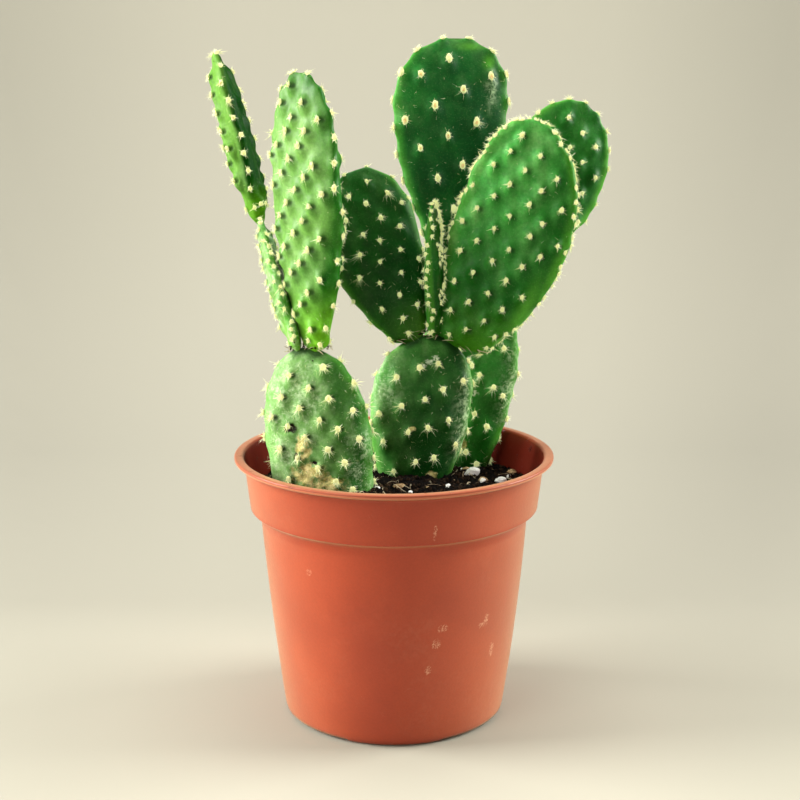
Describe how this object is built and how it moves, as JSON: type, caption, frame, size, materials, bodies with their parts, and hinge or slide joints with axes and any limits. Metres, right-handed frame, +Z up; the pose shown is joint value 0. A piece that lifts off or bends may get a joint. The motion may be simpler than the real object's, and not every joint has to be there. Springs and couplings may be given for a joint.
{
  "type": "potted paddle cactus",
  "caption": "Paddle cactus of flat oval pads grown edge on edge, with rows of spiny areoles, rooted in potting soil in a round tapered plastic nursery pot with a wide collar.",
  "frame": {"origin": "centre of the pot's flat underside, on the surface it stands on", "axes": "+Z up along the pot's axis, -Y towards the front that the picture shows, +X to the right seen from the front"},
  "size_m": [0.1543, 0.12, 0.2563],
  "materials": {
    "pot_plastic": "satin moulded plastic, terracotta orange, with fine scratches and a little dust",
    "potting_soil": "dark crumbly peat with fibres, white perlite grains and bark chips",
    "older_skin": "waxy grey-green plant skin with pale bloom, scuffs and corky scars, cream areoles with yellow spines",
    "young_skin": "waxy bright green plant skin, satin, with cream areoles and yellow spines"
  },
  "bodies": {
    "root": {"pot": "pot_plastic", "soil": "potting_soil", "pad_left_base": "older_skin", "pad_centre_base": "older_skin", "pad_right_base": "older_skin", "pad_left_main": "young_skin", "pad_left_edge": "young_skin", "pad_left_slender": "young_skin", "pad_centre_left": "young_skin", "pad_centre_small": "young_skin", "pad_right_main": "young_skin", "pad_back_tall": "young_skin", "pad_right_back": "young_skin"}
  },
  "joints": []
}
